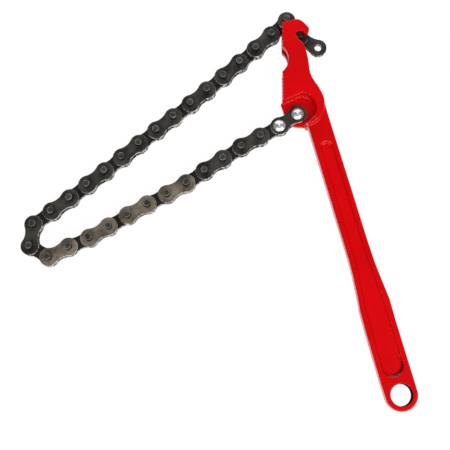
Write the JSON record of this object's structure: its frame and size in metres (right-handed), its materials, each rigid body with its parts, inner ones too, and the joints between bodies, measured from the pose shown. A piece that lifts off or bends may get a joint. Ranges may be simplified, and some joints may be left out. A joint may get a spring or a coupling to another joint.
{
  "type": "chain wrench",
  "caption": "Chain wrench: red forged handle with a forked, toothed hook head, and a flat link chain with long pins, hooked back on the head in a loop.",
  "frame": {"origin": "centre of the hang hole, in the middle plane of the handle", "axes": "+Y along the handle towards the head, +Z along the hang hole and the chain pins, towards the viewer of the picture, +X to the side of the hook's beak"},
  "size_m": [0.2516, 0.3004, 0.0184],
  "materials": {
    "red_enamel": "glossy red enamel on a forging",
    "black_oxide": "dark oiled steel plate",
    "brown_oxide": "brown tempered steel plate",
    "pin_steel": "dark hardened pin",
    "bright_steel": "bright plated rivet"
  },
  "bodies": {
    "handle": {"handle": "red_enamel"},
    "link_01": {"anchor_plates": "black_oxide", "tang_rivet": "bright_steel", "link_rivet": "bright_steel"},
    "link_02": {"inner_02": "black_oxide"},
    "link_03": {"outer_03": "black_oxide", "pins_03": "pin_steel"},
    "link_04": {"inner_04": "black_oxide"},
    "link_05": {"outer_05": "black_oxide", "pins_05": "pin_steel"},
    "link_06": {"inner_06": "black_oxide"},
    "link_07": {"outer_07": "brown_oxide", "pins_07": "pin_steel"},
    "link_08": {"inner_08": "black_oxide"},
    "link_09": {"outer_09": "brown_oxide", "pins_09": "pin_steel"},
    "link_10": {"inner_10": "black_oxide"},
    "link_11": {"outer_11": "brown_oxide", "pins_11": "pin_steel"},
    "link_12": {"inner_12": "black_oxide"},
    "link_13": {"outer_13": "brown_oxide", "pins_13": "pin_steel"},
    "link_14": {"inner_14": "black_oxide"},
    "link_15": {"outer_15": "black_oxide", "pins_15": "pin_steel"},
    "link_16": {"inner_16": "black_oxide"},
    "link_17": {"outer_17": "black_oxide", "pins_17": "pin_steel"},
    "link_18": {"inner_18": "black_oxide"},
    "link_19": {"outer_19": "black_oxide", "pins_19": "pin_steel"},
    "link_20": {"inner_20": "black_oxide"},
    "link_21": {"outer_21": "black_oxide", "pins_21": "pin_steel"},
    "link_22": {"inner_22": "black_oxide"},
    "link_23": {"outer_23": "black_oxide", "pins_23": "pin_steel"},
    "link_24": {"inner_24": "black_oxide"},
    "link_25": {"outer_25": "black_oxide", "pins_25": "pin_steel"},
    "link_26": {"inner_26": "black_oxide"},
    "link_27": {"outer_27": "black_oxide", "pins_27": "pin_steel"},
    "link_28": {"inner_28": "black_oxide"},
    "link_29": {"outer_29": "black_oxide", "pins_29": "pin_steel"},
    "link_30": {"inner_30": "black_oxide"},
    "link_31": {"outer_31": "black_oxide", "pins_31": "pin_steel"},
    "link_32": {"inner_32": "black_oxide"}
  },
  "joints": [
    {"name": "tang_hinge", "type": "hinge", "parent": "handle", "child": "link_01", "pos_m": [-0.0129, 0.2111, 0], "axis": [0, 0, 1], "range_deg": [0, 27.95]},
    {"name": "hinge_02", "type": "hinge", "parent": "link_01", "child": "link_02", "pos_m": [-0.02794, 0.20603, 0], "axis": [0, 0, 1], "range_deg": [-11.62, 0]},
    {"name": "hinge_03", "type": "hinge", "parent": "link_02", "child": "link_03", "pos_m": [-0.04337, 0.20229, 0], "axis": [0, 0, 1], "range_deg": [-5.96, 0]},
    {"name": "hinge_04", "type": "hinge", "parent": "link_03", "child": "link_04", "pos_m": [-0.0588, 0.19856, 0], "axis": [0, 0, 1], "range_deg": [-1.97, 0]},
    {"name": "hinge_05", "type": "hinge", "parent": "link_04", "child": "link_05", "pos_m": [-0.07385, 0.19349, 0], "axis": [0, 0, 1], "range_deg": [-3.24, 0]},
    {"name": "hinge_06", "type": "hinge", "parent": "link_05", "child": "link_06", "pos_m": [-0.08889, 0.18842, 0], "axis": [0, 0, 1], "range_deg": [-4.16, 0]},
    {"name": "hinge_07", "type": "hinge", "parent": "link_06", "child": "link_07", "pos_m": [-0.10384, 0.18309, 0], "axis": [0, 0, 1], "range_deg": [-4.66, 0]},
    {"name": "hinge_08", "type": "hinge", "parent": "link_07", "child": "link_08", "pos_m": [-0.11921, 0.17908, 0], "axis": [0, 0, 1], "range_deg": [-3.44, 0]},
    {"name": "hinge_09", "type": "hinge", "parent": "link_08", "child": "link_09", "pos_m": [-0.1347, 0.17562, 0], "axis": [0, 0, 1], "range_deg": [-3.25, 0]},
    {"name": "hinge_10", "type": "hinge", "parent": "link_09", "child": "link_10", "pos_m": [-0.15006, 0.17161, 0], "axis": [0, 0, 1], "range_deg": [-4.81, 0]},
    {"name": "hinge_11", "type": "hinge", "parent": "link_10", "child": "link_11", "pos_m": [-0.16535, 0.16734, 0], "axis": [0, 0, 1], "range_deg": [-8.94, 0]},
    {"name": "hinge_12", "type": "hinge", "parent": "link_11", "child": "link_12", "pos_m": [-0.18064, 0.16306, 0], "axis": [0, 0, 1], "range_deg": [-11.85, 0]},
    {"name": "hinge_13", "type": "hinge", "parent": "link_12", "child": "link_13", "pos_m": [-0.19633, 0.16068, 0], "axis": [0, 0, 1], "range_deg": [0, 2.56]},
    {"name": "hinge_14", "type": "hinge", "parent": "link_13", "child": "link_14", "pos_m": [-0.21182, 0.15722, 0], "axis": [0, 0, 1], "range_deg": [0, 18.98]},
    {"name": "hinge_15", "type": "hinge", "parent": "link_14", "child": "link_15", "pos_m": [-0.22297, 0.16852, 0], "axis": [0, 0, 1], "range_deg": [0, 9.14]},
    {"name": "hinge_16", "type": "hinge", "parent": "link_15", "child": "link_16", "pos_m": [-0.21693, 0.1832, 0], "axis": [0, 0, 1], "range_deg": [0, 20.74]},
    {"name": "hook_hinge", "type": "hinge", "parent": "handle", "child": "link_31", "pos_m": [0.0048, 0.2678, 0], "axis": [0, 0, 1], "range_deg": [-32.05, 0]},
    {"name": "hinge_31", "type": "hinge", "parent": "link_31", "child": "link_30", "pos_m": [-0.00073, 0.28268, 0], "axis": [0, 0, 1], "range_deg": [0, 3.51]},
    {"name": "hinge_30", "type": "hinge", "parent": "link_30", "child": "link_29", "pos_m": [-0.01467, 0.27509, 0], "axis": [0, 0, 1], "range_deg": [0, 2.42]},
    {"name": "hinge_29", "type": "hinge", "parent": "link_29", "child": "link_28", "pos_m": [-0.02875, 0.26774, 0], "axis": [0, 0, 1], "range_deg": [0, 2.44]},
    {"name": "hinge_28", "type": "hinge", "parent": "link_28", "child": "link_27", "pos_m": [-0.04294, 0.26063, 0], "axis": [0, 0, 1], "range_deg": [0, 3.17]},
    {"name": "hinge_27", "type": "hinge", "parent": "link_27", "child": "link_26", "pos_m": [-0.05714, 0.25353, 0], "axis": [0, 0, 1], "range_deg": [0, 4.1]},
    {"name": "hinge_26", "type": "hinge", "parent": "link_26", "child": "link_25", "pos_m": [-0.07146, 0.24668, 0], "axis": [0, 0, 1], "range_deg": [0, 5.62]},
    {"name": "hinge_25", "type": "hinge", "parent": "link_25", "child": "link_24", "pos_m": [-0.08578, 0.23983, 0], "axis": [0, 0, 1], "range_deg": [0, 6.61]},
    {"name": "hinge_24", "type": "hinge", "parent": "link_24", "child": "link_23", "pos_m": [-0.10033, 0.23347, 0], "axis": [0, 0, 1], "range_deg": [0, 6.33]},
    {"name": "hinge_23", "type": "hinge", "parent": "link_23", "child": "link_22", "pos_m": [-0.11488, 0.22713, 0], "axis": [0, 0, 1], "range_deg": [0, 4.67]},
    {"name": "hinge_22", "type": "hinge", "parent": "link_22", "child": "link_21", "pos_m": [-0.12943, 0.22078, 0], "axis": [0, 0, 1], "range_deg": [0, 2.91]},
    {"name": "hinge_21", "type": "hinge", "parent": "link_21", "child": "link_20", "pos_m": [-0.14387, 0.21417, 0], "axis": [0, 0, 1], "range_deg": [0, 2.62]},
    {"name": "hinge_20", "type": "hinge", "parent": "link_20", "child": "link_19", "pos_m": [-0.1583, 0.20757, 0], "axis": [0, 0, 1], "range_deg": [0, 2.88]},
    {"name": "hinge_19", "type": "hinge", "parent": "link_19", "child": "link_18", "pos_m": [-0.17285, 0.20122, 0], "axis": [0, 0, 1], "range_deg": [0, 2.61]},
    {"name": "hinge_18", "type": "hinge", "parent": "link_18", "child": "link_17", "pos_m": [-0.1874, 0.19487, 0], "axis": [0, 0, 1], "range_deg": [0, 3.18]},
    {"name": "tail_hinge", "type": "hinge", "parent": "link_31", "child": "link_32", "pos_m": [0.0048, 0.2678, 0], "axis": [0, 0, 1], "range_deg": [-60, 70]}
  ],
  "couplings": [
    {"joint": "hinge_02", "follows": "tang_hinge", "ratio": -0.37776},
    {"joint": "hinge_03", "follows": "tang_hinge", "ratio": -0.19369},
    {"joint": "hinge_04", "follows": "tang_hinge", "ratio": -0.064188},
    {"joint": "hinge_05", "follows": "tang_hinge", "ratio": -0.10533},
    {"joint": "hinge_06", "follows": "tang_hinge", "ratio": -0.13537},
    {"joint": "hinge_07", "follows": "tang_hinge", "ratio": -0.15168},
    {"joint": "hinge_08", "follows": "tang_hinge", "ratio": -0.11186},
    {"joint": "hinge_09", "follows": "tang_hinge", "ratio": -0.1058},
    {"joint": "hinge_10", "follows": "tang_hinge", "ratio": -0.1564},
    {"joint": "hinge_11", "follows": "tang_hinge", "ratio": -0.29059},
    {"joint": "hinge_12", "follows": "tang_hinge", "ratio": -0.3855},
    {"joint": "hinge_13", "follows": "tang_hinge", "ratio": 0.083279},
    {"joint": "hinge_14", "follows": "tang_hinge", "ratio": 0.61709},
    {"joint": "hinge_15", "follows": "tang_hinge", "ratio": 0.29713},
    {"joint": "hinge_16", "follows": "tang_hinge", "ratio": 0.67454},
    {"joint": "hook_hinge", "follows": "tang_hinge", "ratio": -1.0423},
    {"joint": "hinge_31", "follows": "tang_hinge", "ratio": 0.11417},
    {"joint": "hinge_30", "follows": "tang_hinge", "ratio": 0.078622},
    {"joint": "hinge_29", "follows": "tang_hinge", "ratio": 0.079403},
    {"joint": "hinge_28", "follows": "tang_hinge", "ratio": 0.10293},
    {"joint": "hinge_27", "follows": "tang_hinge", "ratio": 0.13327},
    {"joint": "hinge_26", "follows": "tang_hinge", "ratio": 0.18277},
    {"joint": "hinge_25", "follows": "tang_hinge", "ratio": 0.21498},
    {"joint": "hinge_24", "follows": "tang_hinge", "ratio": 0.20593},
    {"joint": "hinge_23", "follows": "tang_hinge", "ratio": 0.15177},
    {"joint": "hinge_22", "follows": "tang_hinge", "ratio": 0.094516},
    {"joint": "hinge_21", "follows": "tang_hinge", "ratio": 0.085111},
    {"joint": "hinge_20", "follows": "tang_hinge", "ratio": 0.093502},
    {"joint": "hinge_19", "follows": "tang_hinge", "ratio": 0.084976},
    {"joint": "hinge_18", "follows": "tang_hinge", "ratio": 0.10346}
  ]
}
